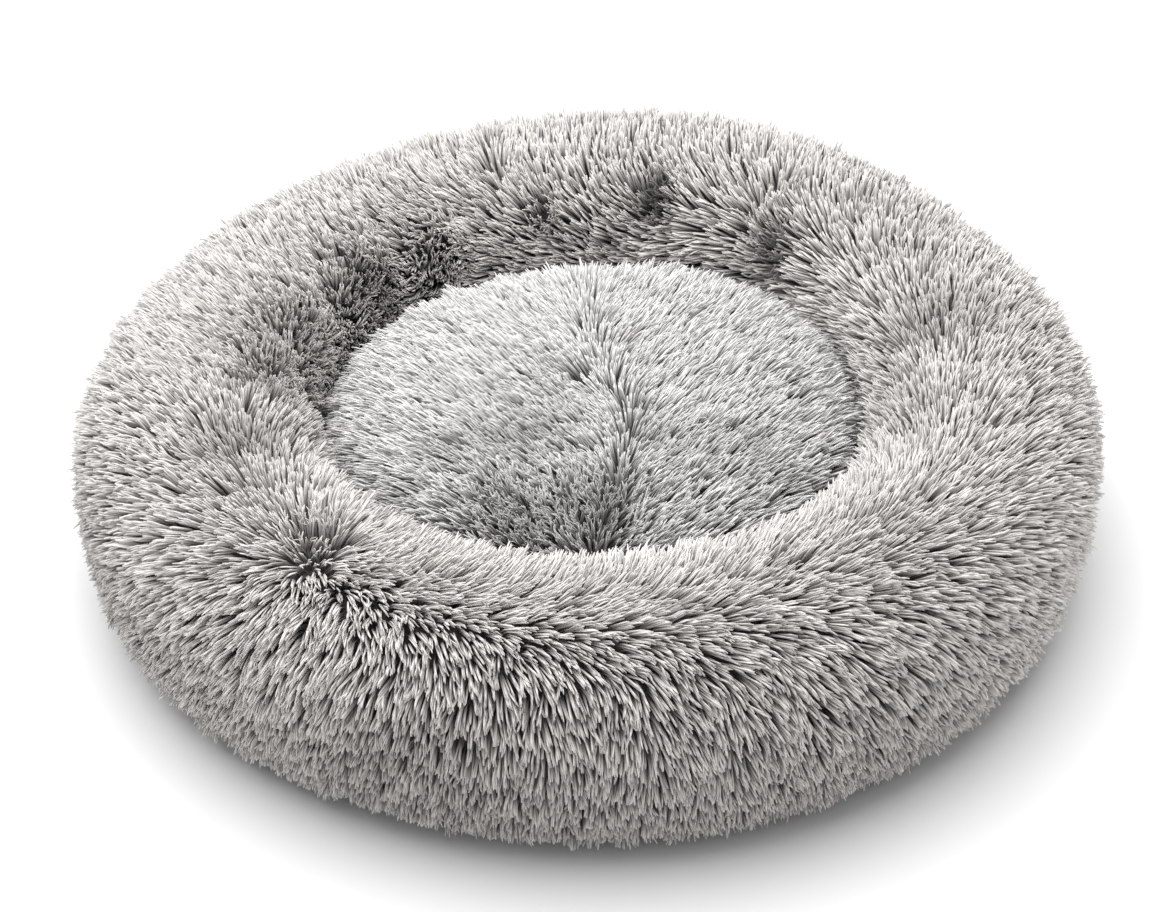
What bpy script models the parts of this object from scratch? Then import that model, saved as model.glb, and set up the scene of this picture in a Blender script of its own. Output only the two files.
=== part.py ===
"""Round pet cushion bed: a stuffed ring bolster on a thin base, with a loose round cushion in its well.

Both covers come off through a zip that is hidden low on the side, under the overhang of the pile.
Metres, +Z up. The origin is the middle of the bed on the surface that it stands on.
"""
import math

import bmesh
import bpy

# ---- driving dimensions -------------------------------------------------------------------------
BED_RADIUS = 0.300              # outside of the pile at its widest
WELL_RADIUS = 0.1575            # narrowest width of the well, between the pile of the ring
RING_HEIGHT = 0.144             # top of the pile above the surface that the bed stands on
RING_POWER = 2.3                # 2 would be an ellipse; higher is squarer
RING_PILE = 0.017               # pile and backing of the ring's cover
GAP = 0.0003                    # clearance between pieces that touch
LAYER_GAP = 0.0008              # clearance between curved layers

BASE_THICKNESS = 0.0012
WADDING_THICKNESS = 0.0020
FLOOR_THICKNESS = 0.0010
LINER_THICKNESS = 0.0010
INNER_SEAM_RADIUS = 0.200       # where the ring's cover meets the floor of the well
WADDING_RADIUS = 0.2485
QUARTERS = ("right", "rear", "left", "front")       # the ring's cover, divided on the diagonals
FIRST_QUARTER = -45.0           # azimuth where the right quarter starts
COVER_TURNS_IN = 232.0          # section angle where the cover's inside meets its inner seam
LINER_SLIT = 5.0                # half of the closing slit under a liner, in degrees of its section

CUSHION_RADIUS = 0.1555
CUSHION_TOP = 0.110             # crown of its pile
CUSHION_POWER = 3.4
CUSHION_PILE = 0.015
CUSHION_SLIT_RADIUS = 0.008

RING_ZIP_RADIUS = 0.262         # middle of the coils
RING_ZIP_START, RING_ZIP_SWEEP = 15.0, 150.0        # degrees from +X, round the back
CUSHION_ZIP_RADIUS = 0.129
CUSHION_ZIP_START, CUSHION_ZIP_SWEEP = 30.0, 120.0

COIL_DEPTH = 0.0016             # radial thickness of a coil
COIL_HEIGHT = 0.0022
COIL_SPLIT = 0.0016             # between the two coils, where the slider's divider runs
TAPE_THICKNESS = 0.0008
TAPE_LEG = 0.0006               # thickness where a tape is sewn down
TAPE_LOW_REACH = 0.0130         # how far the lower tape reaches under the stuffing
TAPE_HIGH_REACH = 0.0100        # how far the upper tape reaches under the pile
ZIP_MIDDLE = 0.0086             # the zip's middle line above the underside of its base cloth
ZIP_TOP = 0.0161                # top of the upper tape above the same underside
TAPE_END = 2.0                  # degrees of tape beyond the coils, at each end
STOP_LENGTH = 0.0016

SLIDER_LENGTH = 0.0090
SLIDER_HEIGHT = 0.0080
SLIDER_PLATE = 0.0010
SLIDER_REST = 2.5               # degrees between the closed slider and the end of the coils
BAIL_HEIGHT = 0.0068
BAIL_BAR = 0.0012               # the bar that the pull turns on
BAIL_ARM = 0.0008               # the two arms that hold the bar
BAIL_REACH = 0.0030             # outside of the bail beyond the slider's plate
PULL_EYE_RADIUS = 0.0019
PULL_HOLE_RADIUS = 0.00115
PULL_LENGTH, PULL_WIDTH, PULL_THICKNESS = 0.022, 0.0042, 0.0012

LABEL_THICKNESS, LABEL_WIDTH, LABEL_HEIGHT = 0.0006, 0.026, 0.009
LABEL_ANGLE = 205.0

RING_STEPS = 32                 # facets round a full turn; a quarter starts on one of their edges
ZIP_FACET = 4.0                 # degrees for one facet of a zip
SECTION_FACET = 18.0            # degrees for one facet of a section of the ring
RIM_FACETS = 6                  # facets of the cushion's section, above and below its widest place

# colour, roughness, metallic
PILE_LOOK = ((0.62, 0.60, 0.58), 0.95, 0.0)
LINER_LOOK = ((0.86, 0.86, 0.84), 0.90, 0.0)
FIBRE_LOOK = ((0.93, 0.93, 0.92), 0.95, 0.0)
CLOTH_LOOK = ((0.24, 0.24, 0.25), 0.85, 0.0)
TAPE_LOOK = ((0.45, 0.44, 0.43), 0.85, 0.0)
COIL_LOOK = ((0.50, 0.49, 0.48), 0.45, 0.0)
METAL_LOOK = ((0.60, 0.60, 0.61), 0.30, 1.0)
LABEL_LOOK = ((0.90, 0.90, 0.88), 0.80, 0.0)

# ---- worked out from them -------------------------------------------------------------------------
TUBE_HALF_WIDTH = (BED_RADIUS - WELL_RADIUS) / 2.0
TUBE_RADIUS = WELL_RADIUS + TUBE_HALF_WIDTH
TUBE_MIDDLE = RING_HEIGHT / 2.0
WADDING_BOTTOM = BASE_THICKNESS + GAP
FLOOR_BOTTOM = WADDING_BOTTOM + WADDING_THICKNESS + GAP
RING_BOTTOM = FLOOR_BOTTOM + FLOOR_THICKNESS + GAP
CUSHION_BOTTOM = RING_BOTTOM
CUSHION_MIDDLE = (CUSHION_TOP + CUSHION_BOTTOM) / 2.0
RING_HEM = ZIP_TOP + GAP
CUSHION_HEM = CUSHION_BOTTOM + ZIP_TOP + GAP


# ---- helpers --------------------------------------------------------------------------------------
def clear_scene():
    for old in list(bpy.data.objects):
        bpy.data.objects.remove(old, do_unlink=True)


def new_collection(name):
    collection = bpy.data.collections.new(name)
    bpy.context.scene.collection.children.link(collection)
    return collection


clear_scene()
PARTS = new_collection("pet_cushion_bed")


def material(name, look):
    mat = bpy.data.materials.new(name)
    mat.use_nodes = True
    shader = mat.node_tree.nodes["Principled BSDF"]
    colour, roughness, metallic = look
    shader.inputs["Base Color"].default_value = (*colour, 1.0)
    shader.inputs["Roughness"].default_value = roughness
    shader.inputs["Metallic"].default_value = metallic
    mat.diffuse_color = (*colour, 1.0)
    return mat


def finish(name, bm, look, parent):
    """Makes the named part from a bmesh, in its parent's coordinates."""
    bmesh.ops.recalc_face_normals(bm, faces=bm.faces)
    mesh = bpy.data.meshes.new(name)
    bm.to_mesh(mesh)
    bm.free()
    mesh.shade_smooth()
    mesh.set_sharp_from_angle(angle=math.radians(40.0))
    mesh.materials.append(material(name, look))
    obj = bpy.data.objects.new(name, mesh)
    obj.parent = parent
    PARTS.objects.link(obj)
    return obj


def pivot(name, parent=None, location=(0.0, 0.0, 0.0), turn=0.0):
    """An empty on a joint's axis, turned about Z by some degrees."""
    empty = bpy.data.objects.new(name, None)
    empty.location = location
    empty.rotation_euler = (0.0, 0.0, math.radians(turn))
    empty.parent = parent
    PARTS.objects.link(empty)
    return empty


def turned(name, outline, look, parent=None, start=0.0, sweep=360.0, steps=RING_STEPS):
    """A solid turned about Z from (radius, height) points.

    A full turn takes a closed outline, or one that starts and ends on the axis. Part of a turn takes
    a closed outline, whose face closes both ends.
    """
    bm = bmesh.new()
    turn = math.radians(start)
    verts = [bm.verts.new((r * math.cos(turn), r * math.sin(turn), z)) for r, z in outline]
    whole = sweep >= 360.0
    if whole:
        on_axis = outline[0][0] == 0.0 and outline[-1][0] == 0.0
        ends = verts[1:] if on_axis else verts[1:] + verts[:1]
        section = [bm.edges.new(pair) for pair in zip(verts, ends)] + verts
    else:
        face = bm.faces.new(verts)
        section = [face, *face.edges, *verts]
    bmesh.ops.spin(bm, geom=section, axis=(0, 0, 1), cent=(0, 0, 0), angle=math.radians(sweep),
                   steps=steps, use_merge=whole)
    bmesh.ops.remove_doubles(bm, verts=bm.verts, dist=1e-6)
    return finish(name, bm, look, parent)


def zip_arc(name, outline, look, parent, start, sweep):
    return turned(name, outline, look, parent, start, sweep, max(1, round(sweep / ZIP_FACET)))


def disc(name, radius, bottom, thickness, look, parent=None):
    top = bottom + thickness
    return turned(name, [(0.0, bottom), (radius, bottom), (radius, top), (0.0, top)], look, parent)


def boolean(target, tool, operation):
    """Joins or cuts a solid with a second one, which is removed. Both have the same parent."""
    change = target.modifiers.new(tool.name, "BOOLEAN")
    change.operation = operation
    change.object = tool
    bpy.context.view_layer.update()
    evaluated = target.evaluated_get(bpy.context.evaluated_depsgraph_get())
    target.data = bpy.data.meshes.new_from_object(evaluated)
    target.modifiers.remove(change)
    bpy.data.objects.remove(tool, do_unlink=True)


def block(name, size, centre, look, parent=None):
    bm = bmesh.new()
    bmesh.ops.create_cube(bm, size=1.0)
    bmesh.ops.scale(bm, vec=size, verts=bm.verts)
    bmesh.ops.translate(bm, vec=centre, verts=bm.verts)
    return finish(name, bm, look, parent)


def upright_cylinder(name, radius, height, look, parent=None, segments=16):
    bm = bmesh.new()
    bmesh.ops.create_cone(bm, cap_ends=True, segments=segments, radius1=radius, radius2=radius,
                          depth=height)
    return finish(name, bm, look, parent)


def superellipse(half_width, half_height, power, degrees):
    """A point of the curve |x/a|^n + |z/b|^n = 1 at this parameter angle."""
    c, s = math.cos(math.radians(degrees)), math.sin(math.radians(degrees))
    x = math.copysign(abs(c) ** (2.0 / power), c) * half_width
    z = math.copysign(abs(s) ** (2.0 / power), s) * half_height
    return x, z


def degrees_down(drop, half_height, power):
    """The parameter angle at which a superellipse has dropped this far below its middle."""
    return math.degrees(math.asin((drop / half_height) ** (power / 2.0)))


# ---- the ring ---------------------------------------------------------------------------------------
def section_angles(first, last):
    """Parameter angles from first to last, with one at each quarter turn between them."""
    stops = [first] + [q for q in (0.0, 90.0, 180.0) if first < q < last] + [last]
    angles = [first]
    for low, high in zip(stops, stops[1:]):
        count = max(1, round((high - low) / SECTION_FACET))
        angles += [low + (high - low) * i / count for i in range(1, count + 1)]
    return angles


def ring_section(half_width, top, bottom, first, last):
    """Points of a ring section from one parameter angle to another; 0 is outside, 90 is the top."""
    points = []
    for degrees in section_angles(first, last):
        above = math.sin(math.radians(degrees)) > 0.0
        half_height = top - TUBE_MIDDLE if above else TUBE_MIDDLE - bottom
        x, z = superellipse(half_width, half_height, RING_POWER, degrees)
        points.append((TUBE_RADIUS + x, TUBE_MIDDLE + z))
    return points


def bolster_cover():
    """The plush of the ring, pile included: a C section, open underneath, where the base closes it.

    It is one cover. It is divided on the diagonals into quarters a small gap apart, so that each is a
    simple shape that doesn't bend round the whole well.
    """
    hem_drop = TUBE_MIDDLE - RING_HEM
    seam_drop = TUBE_MIDDLE - RING_BOTTOM
    outer = ring_section(TUBE_HALF_WIDTH, RING_HEIGHT, 0.0,
                         -degrees_down(hem_drop, TUBE_MIDDLE, RING_POWER),
                         180.0 + degrees_down(seam_drop, TUBE_MIDDLE, RING_POWER))
    low = RING_BOTTOM + LAYER_GAP / 2.0
    inner = ring_section(TUBE_HALF_WIDTH - RING_PILE, RING_HEIGHT - RING_PILE, low,
                         -degrees_down(hem_drop, TUBE_MIDDLE - low, RING_POWER), COVER_TURNS_IN)
    outline = outer + [(INNER_SEAM_RADIUS, RING_BOTTOM)] + inner[::-1]
    share = 360.0 / len(QUARTERS)
    clear = math.degrees(GAP / WELL_RADIUS)
    for i, side in enumerate(QUARTERS):
        turned("bolster_cover_" + side, outline, PILE_LOOK, None,
               FIRST_QUARTER + share * i + clear / 2.0, share - clear, RING_STEPS // len(QUARTERS))


def bolster_liner():
    """The inner bag of the ring, closed by a slit under it."""
    half_width = TUBE_HALF_WIDTH - RING_PILE - LAYER_GAP
    top = RING_HEIGHT - RING_PILE - LAYER_GAP
    low = RING_BOTTOM + LAYER_GAP
    outer = ring_section(half_width, top, low, -90.0 + LINER_SLIT, 270.0 - LINER_SLIT)
    inner = ring_section(half_width - LINER_THICKNESS, top - LINER_THICKNESS, low + LINER_THICKNESS,
                         -90.0 + LINER_SLIT, 270.0 - LINER_SLIT)
    return turned("bolster_liner", outer + inner[::-1], LINER_LOOK)


def bolster_fill():
    inset = RING_PILE + LINER_THICKNESS + 2.0 * LAYER_GAP
    outline = ring_section(TUBE_HALF_WIDTH - inset, RING_HEIGHT - inset,
                           RING_BOTTOM + LINER_THICKNESS + 2.0 * LAYER_GAP, -90.0, 270.0)
    return turned("bolster_fill", outline[:-1], FIBRE_LOOK)


def base_layers():
    """Anti-slip cloth on the ground, thin wadding, and the floor of the well, sewn together flat."""
    disc("base_panel", RING_ZIP_RADIUS + TAPE_THICKNESS / 2.0, 0.0, BASE_THICKNESS, CLOTH_LOOK)
    disc("base_wadding", WADDING_RADIUS, WADDING_BOTTOM, WADDING_THICKNESS, FIBRE_LOOK)
    disc("well_floor", WADDING_RADIUS, FLOOR_BOTTOM, FLOOR_THICKNESS, LINER_LOOK)


def care_label():
    """A blank label, sewn flat to the gusset."""
    inner = RING_ZIP_RADIUS + TAPE_THICKNESS / 2.0 + GAP
    outer = inner + LABEL_THICKNESS
    low = ZIP_MIDDLE - LABEL_HEIGHT / 2.0
    high = ZIP_MIDDLE + LABEL_HEIGHT / 2.0
    sweep = math.degrees(LABEL_WIDTH / inner)
    return zip_arc("care_label", [(inner, low), (outer, low), (outer, high), (inner, high)], LABEL_LOOK,
                   None, LABEL_ANGLE - sweep / 2.0, sweep)


# ---- the cushion ------------------------------------------------------------------------------------
def cushion_section(radius, top, bottom, last):
    """Points from the crown down to a parameter angle below the widest place, at angle 0."""
    points = [(0.0, top)]
    for first, final in ((90.0, 0.0), (0.0, last)):
        for i in range(1, RIM_FACETS + 1):
            degrees = first + (final - first) * i / RIM_FACETS
            half_height = top - CUSHION_MIDDLE if degrees > 0.0 else CUSHION_MIDDLE - bottom
            x, z = superellipse(radius, half_height, CUSHION_POWER, degrees)
            points.append((x, CUSHION_MIDDLE + z))
    return points


def cushion_cover(body):
    """The plush top and side of the cushion, pile included, down to the hem above its zip."""
    drop = CUSHION_MIDDLE - CUSHION_HEM
    half_height = CUSHION_MIDDLE - CUSHION_BOTTOM
    outer = cushion_section(CUSHION_RADIUS, CUSHION_TOP, CUSHION_BOTTOM,
                            -degrees_down(drop, half_height, CUSHION_POWER))
    low = CUSHION_BOTTOM + BASE_THICKNESS
    inner = cushion_section(CUSHION_RADIUS - CUSHION_PILE, CUSHION_TOP - CUSHION_PILE, low,
                            -degrees_down(drop, CUSHION_MIDDLE - low, CUSHION_POWER))
    return turned("cushion_cover", outer + inner[::-1], PILE_LOOK, body)


def cushion_shape(inset, last):
    """A section of what lies inside the cover, this far inside it."""
    return cushion_section(CUSHION_RADIUS - CUSHION_PILE - inset, CUSHION_TOP - CUSHION_PILE - inset,
                           CUSHION_BOTTOM + BASE_THICKNESS + TAPE_LEG + 2.0 * GAP + inset, last)


def cushion_liner(body):
    """The inner bag of the cushion, with its closing slit under the middle."""
    outer = cushion_shape(LAYER_GAP, -90.0)
    inner = cushion_shape(LAYER_GAP + LINER_THICKNESS, -90.0)
    outer[-1] = (CUSHION_SLIT_RADIUS, outer[-1][1])
    inner[-1] = (CUSHION_SLIT_RADIUS, inner[-1][1])
    return turned("cushion_liner", outer + inner[::-1], LINER_LOOK, body)


def cushion_fill(body):
    outline = cushion_shape(LINER_THICKNESS + 2.0 * LAYER_GAP, -90.0)
    outline[-1] = (0.0, outline[-1][1])
    return turned("cushion_fill", outline, FIBRE_LOOK, body)


def cushion_base(body):
    return disc("cushion_base", CUSHION_ZIP_RADIUS + TAPE_THICKNESS / 2.0, CUSHION_BOTTOM,
                BASE_THICKNESS, CLOTH_LOOK, body)


# ---- zips and the gussets in line with them -----------------------------------------------------------
def tape_outline(radius, low, high, leg_at_top):
    """A tape standing on edge, with a leg turned inwards at its foot or outwards at its head."""
    inner, outer = radius - TAPE_THICKNESS / 2.0, radius + TAPE_THICKNESS / 2.0
    if leg_at_top:
        reach, leg = radius + TAPE_HIGH_REACH, high - TAPE_LEG
        return [(inner, low), (outer, low), (outer, leg), (reach, leg), (reach, high), (inner, high)]
    reach, leg = radius - TAPE_LOW_REACH, low + TAPE_LEG
    return [(reach, low), (outer, low), (outer, high), (inner, high), (inner, leg), (reach, leg)]


def gusset(name, radius, floor, start, sweep, body=None):
    """The strip that closes the side where there is no zip: one tape from the foot to the hem."""
    inner, outer = radius - TAPE_THICKNESS / 2.0, radius + TAPE_THICKNESS / 2.0
    low, high = floor + BASE_THICKNESS + GAP, floor + ZIP_TOP
    foot, hem = radius - TAPE_LOW_REACH, radius + TAPE_HIGH_REACH
    outline = [(foot, low), (outer, low), (outer, high - TAPE_LEG), (hem, high - TAPE_LEG),
               (hem, high), (inner, high), (inner, low + TAPE_LEG), (foot, low + TAPE_LEG)]
    zip_arc(name, outline, CLOTH_LOOK, body, start, sweep)


def zip_fastener(prefix, radius, floor, start, sweep, body=None):
    """Tapes, coils, stops, slider and pull tab, standing round the side above a base at floor."""
    middle = floor + ZIP_MIDDLE
    coil_in, coil_out = radius - COIL_DEPTH / 2.0, radius + COIL_DEPTH / 2.0
    split = COIL_SPLIT / 2.0
    reach = split + COIL_HEIGHT

    zip_arc(prefix + "_lower_tape",
            tape_outline(radius, floor + BASE_THICKNESS + GAP, middle - reach - GAP, False),
            TAPE_LOOK, body, start - TAPE_END, sweep + 2.0 * TAPE_END)
    zip_arc(prefix + "_upper_tape",
            tape_outline(radius, middle + reach + GAP, floor + ZIP_TOP, True),
            TAPE_LOOK, body, start - TAPE_END, sweep + 2.0 * TAPE_END)
    for name, low, high in (("_lower_coil", middle - reach, middle - split),
                            ("_upper_coil", middle + split, middle + reach)):
        outline = [(coil_in, low), (coil_out, low), (coil_out, high), (coil_in, high)]
        zip_arc(prefix + name, outline, COIL_LOOK, body, start, sweep)

    stop = math.degrees(STOP_LENGTH / radius)
    clear = math.degrees(GAP / radius)
    outline = [(coil_in, middle - reach), (coil_out, middle - reach),
               (coil_out, middle + reach), (coil_in, middle + reach)]
    zip_arc(prefix + "_bottom_stop", outline, METAL_LOOK, body, start - clear - stop, stop)
    zip_arc(prefix + "_top_stop", outline, METAL_LOOK, body, start + sweep + clear, stop)
    zip_slider(prefix, radius, middle, start + sweep - SLIDER_REST, body)


def zip_slider(prefix, radius, middle, turn, body):
    """A slider of two plates and a divider, with a bail that holds the pull tab. It is made at +X."""
    track = pivot(prefix + "_track", body, turn=turn)
    inside = radius - COIL_DEPTH / 2.0 - GAP
    outside = radius + COIL_DEPTH / 2.0 + GAP
    half = SLIDER_HEIGHT / 2.0
    divider = COIL_SPLIT / 2.0 - GAP
    outline = [(inside - SLIDER_PLATE, -half), (inside, -half), (inside, -divider), (outside, -divider),
               (outside, -half), (outside + SLIDER_PLATE, -half), (outside + SLIDER_PLATE, half),
               (outside, half), (outside, divider), (inside, divider), (inside, half),
               (inside - SLIDER_PLATE, half)]
    sweep = math.degrees(SLIDER_LENGTH / radius)
    slider = turned(prefix + "_slider", [(r, middle + z) for r, z in outline], METAL_LOOK, track,
                    -sweep / 2.0, sweep, 2)

    plate = outside + SLIDER_PLATE
    bail = block("bail", (BAIL_REACH + SLIDER_PLATE / 2.0, BAIL_BAR, BAIL_HEIGHT),
                 (plate + BAIL_REACH / 2.0 - SLIDER_PLATE / 4.0, 0.0, middle), METAL_LOOK, track)
    window = block("window", (BAIL_REACH - BAIL_BAR, 2.0 * BAIL_BAR, BAIL_HEIGHT - 2.0 * BAIL_ARM),
                   (plate + (BAIL_REACH - BAIL_BAR) / 2.0, 0.0, middle), METAL_LOOK, track)
    boolean(slider, bail, "UNION")
    boolean(slider, window, "DIFFERENCE")

    pin = pivot(prefix + "_pin", track, (plate + BAIL_REACH - BAIL_BAR / 2.0, 0.0, middle))
    pull = upright_cylinder(prefix + "_pull", PULL_EYE_RADIUS, PULL_WIDTH, METAL_LOOK, pin)
    tab = block("tab", (PULL_THICKNESS, PULL_LENGTH, PULL_WIDTH), (0.0, -PULL_LENGTH / 2.0, 0.0),
                METAL_LOOK, pin)
    boolean(pull, tab, "UNION")
    hole = upright_cylinder("hole", PULL_HOLE_RADIUS, 2.0 * PULL_WIDTH, METAL_LOOK, pin)
    boolean(pull, hole, "DIFFERENCE")


def gusset_between(name, radius, floor, zip_start, zip_sweep, body=None):
    """The gusset fills what the zip and its tape ends leave of the full turn."""
    clear = TAPE_END + math.degrees(GAP / radius)
    gusset(name, radius, floor, zip_start + zip_sweep + clear, 360.0 - zip_sweep - 2.0 * clear, body)


def main():
    bolster_cover()
    bolster_liner()
    bolster_fill()
    base_layers()
    gusset_between("side_gusset", RING_ZIP_RADIUS, 0.0, RING_ZIP_START, RING_ZIP_SWEEP)
    care_label()
    zip_fastener("ring_zip", RING_ZIP_RADIUS, 0.0, RING_ZIP_START, RING_ZIP_SWEEP)

    cushion = pivot("cushion_lift")
    cushion_cover(cushion)
    cushion_liner(cushion)
    cushion_fill(cushion)
    cushion_base(cushion)
    gusset_between("cushion_gusset", CUSHION_ZIP_RADIUS, CUSHION_BOTTOM, CUSHION_ZIP_START,
                   CUSHION_ZIP_SWEEP, cushion)
    zip_fastener("cushion_zip", CUSHION_ZIP_RADIUS, CUSHION_BOTTOM, CUSHION_ZIP_START,
                 CUSHION_ZIP_SWEEP, cushion)
    bpy.context.view_layer.update()


main()
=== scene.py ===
"""The looks of the round pet cushion bed: long frosted pile on a stuffed ring and on a loose cushion.

The pile is real geometry. Each lock is a few tapering strands that leave the skin upright and bend
over in the direction in which the pile is combed there.

On the ring a place is given by its azimuth, counter-clockwise from +X, and by its section angle: 0 is
the outside of the ring, 90 its crest and 180 the side of the well. A heading of 0 lays the pile
outwards and down, 90 counter-clockwise along the ring, and 180 inwards over the crest.
"""
import math

import bmesh
import bpy
import numpy as np
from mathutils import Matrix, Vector
from mathutils.bvhtree import BVHTree
from mathutils.kdtree import KDTree


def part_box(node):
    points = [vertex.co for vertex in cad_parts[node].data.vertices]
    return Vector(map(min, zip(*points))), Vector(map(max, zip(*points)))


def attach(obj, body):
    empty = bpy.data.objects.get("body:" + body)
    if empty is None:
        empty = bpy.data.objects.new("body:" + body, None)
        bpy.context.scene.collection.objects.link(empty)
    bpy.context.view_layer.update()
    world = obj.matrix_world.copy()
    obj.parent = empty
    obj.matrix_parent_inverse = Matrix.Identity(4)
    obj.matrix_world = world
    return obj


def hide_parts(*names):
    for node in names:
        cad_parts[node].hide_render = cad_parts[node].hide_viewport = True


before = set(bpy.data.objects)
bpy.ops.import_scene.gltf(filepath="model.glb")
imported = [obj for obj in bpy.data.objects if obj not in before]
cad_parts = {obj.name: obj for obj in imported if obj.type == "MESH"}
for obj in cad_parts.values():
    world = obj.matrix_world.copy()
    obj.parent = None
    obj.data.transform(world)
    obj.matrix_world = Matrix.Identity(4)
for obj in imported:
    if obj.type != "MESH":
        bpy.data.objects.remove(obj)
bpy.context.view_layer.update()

# ---- the pile ----
RING_INSET = 0.0155  # skin below the tips of the pile, on the ring
CUSHION_INSET = 0.0130
RING_POWER, CUSHION_POWER = 2.3, 4.2  # how square the sections are; 2 is an ellipse
# where the cushion's shoulder stands out and up more, or less: azimuth, reach in degrees, how far
FULLER = ((30, 38, 0.0045), (112, 40, -0.0035))
FOOT_POWER = 2.3  # of the ring's section where it spreads on the floor
SPREADING = ((-158, 24, 0.55), (-18, 22, 0.45))  # azimuth, reach, how much squarer the foot is
LOCK_SPACING = 0.0029  # between the roots of neighbouring locks
CUSHION_SPACING = 0.0026
WELL_SPACING = 0.0040
LOCK_LENGTH = 0.0215
STRANDS = 3  # to a lock
STRAND_RADIUS = 0.00052
LOCK_RADIUS = 0.00095  # of the strands' roots round the lock's middle
CLUMP_SHARE = 0.33  # of the locks lead a clump, which its neighbours bend towards
CLUMP_PULL = 0.0050  # the furthest that a tip is drawn to its clump
RING_TONE, CUSHION_TONE = 0.17, -0.04  # how much paler the smooth band and the cushion are
RING_SECTORS, WELL_SECTORS, CUSHION_SECTORS = 22, 3, 6  # meshes that each pile is divided into
MOST_STUFFED = 0.0030  # the furthest that the stuffing may press a skin out of its shape
LAYER = 0.0004  # clearance between the skins and the flat cloths
MERGED = 1e-6  # points closer than this are one
LOWEST_TIP = 0.0010  # the pile doesn't go lower than this above the floor
# it stays higher over a zip, whose slider runs and whose pull tab swings: azimuths from and to, height
OVER_RING_ZIP = (8.0, 172.0, 0.0138)
OVER_CUSHION_ZIP = (16.0, 164.0, 0.0189)

# Headings of the pile round the ring: a row for each azimuth, a column for each section
# angle. Where neighbours oppose each other, the pile between them stands up in a parting.
COMB_SECTIONS = (-60, 0, 40, 65, 85, 100, 120, 150, 200)
COMB = {
    -180: (-10, -20, -35, -40, -25, 0, 30, 40, 40),  # fans out over the left side
    -150: (-20, -35, -45, -48, -60, -92, -126, -140, -150),
    -120: (0, -5, 0, 30, 75, 140, 172, 175, 175),
    -90: (0, 0, 15, 40, 90, 148, 176, 180, 180),  # front: parts along the crest
    -60: (10, 20, 32, 44, 66, 98, 108, 102, 110),
    -30: (30, 45, 45, 55, 70, 100, 115, 125, 130),
    0: (30, 45, 45, 45, 50, 65, 90, 115, 120),  # right: sweeps round and back
    30: (25, 40, 40, 40, 38, 48, 70, 100, 110),
    60: (10, 20, 20, 20, 20, 30, 55, 100, 110),
    90: (0, 0, 0, 0, 0, -5, 20, 50, 60),  # rear: over the back
    120: (0, 0, 0, 0, -5, 20, 55, 70, 80),
    150: (-5, -10, -10, -15, -18, -10, 10, 40, 50),
}
FRONT_WHORL = (-129.0, 89.0)  # azimuth and section angle that the pile radiates from
WHORL_REACH = 0.034
CURL_REACH = 0.014  # within which its locks are curly
PILE_FROM, PILE_TO, WELL_PILE_TO = -50.0, 212.0, 252.0  # section angles of the long and the short pile
# where the pile stands in separate tufts and shows its dark roots, darkened further by painted shade:
# azimuth, section angle, reach
TUFTED = ((179, 134, 0.019), (164, 148, 0.030), (142, 154, 0.032), (122, 156, 0.024),
          (98, 146, 0.013), (75, 138, 0.015), (48, 142, 0.014), (-129, 89, 0.013))
# where it lies combed but is darker, or paler: partly its roots showing more or less, partly painted shade
# and painted light: azimuth, section angle, reach, how much
ROOTS_AND_PAINTED_SHADE = ((-150, 101, 0.032, 0.62), (-167, 126, 0.028, 0.56), (-48, 84, 0.030, 0.28),
            (-138, 92, 0.022, 0.24), (-178, 68, 0.044, -0.24),
            (-22, 114, 0.032, 0.30), (4, 114, 0.036, 0.54), (22, 110, 0.034, 0.26),
            (-120, 68, 0.042, -0.62), (-104, 78, 0.026, -0.36), (-66, 106, 0.030, 0.18),
            (-147, 54, 0.032, -0.32), (135, 167, 0.024, 0.34), (160, 48, 0.040, -0.10),
            (45, 148, 0.022, 0.40), (75, 137, 0.020, 0.42), (114, 149, 0.024, -0.32),
            (40, 80, 0.060, 0.15), (80, 78, 0.060, 0.14), (24, 168, 0.038, -0.50),
            (158, 182, 0.026, -0.36), (-14, 145, 0.032, 0.32), (82, 167, 0.022, 0.40),
            (105, 136, 0.036, -0.12), (-110, 20, 0.048, 0.22), (-30, 14, 0.066, -0.24),
            (-156, 20, 0.050, 0.16), (38, 112, 0.030, 0.14), (140, 85, 0.050, 0.12))
# partings that run over the ring: azimuth, section angles from and to, reach along the ring
PARTED = ((106, 84, 124, 0.014), (56, 100, 150, 0.014))
# where the stuffing has settled: azimuth, reach in degrees, outwards and upwards in metres
SETTLED = ((122, 34, -0.007, -0.0110), (156, 22, -0.005, -0.0095), (32, 20, -0.003, -0.0055),
           (-150, 24, 0.005, 0), (-92, 30, 0.001, 0.0010))
# the line along which the cushion's pile parts, x by y
PARTING = ((-0.13, 0.002), (-0.09, 0.014), (-0.05, 0.021), (-0.03, 0.024), (-0.005, 0.014), (0.03, 0.004),
           (0.07, -0.001), (0.14, -0.004))
# where the cushion's pile stands in tufts: x, y, reach
CUSHION_TUFTED = ((-0.036, -0.114, 0.030), (0.000, -0.108, 0.026))
# where it is darker, or paler: partly its roots showing, partly painted shade and painted light: x, y, reach,
# how much
CUSHION_ROOTS_AND_PAINTED_SHADE = ((0.112, 0, 0.020, 0.40), (-0.015, -0.092, 0.030, -0.22), (-0.112, -0.060, 0.022, -0.42),
                    (-0.115, 0.02, 0.038, -0.20), (-0.100, -0.092, 0.022, 0.20))


# ---- helpers ----
def rows_of(vertices, key):
    """The co or the normal of each vertex."""
    values = np.empty(len(vertices) * 3)
    vertices.foreach_get(key, values)
    return values.reshape(-1, 3)


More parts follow.
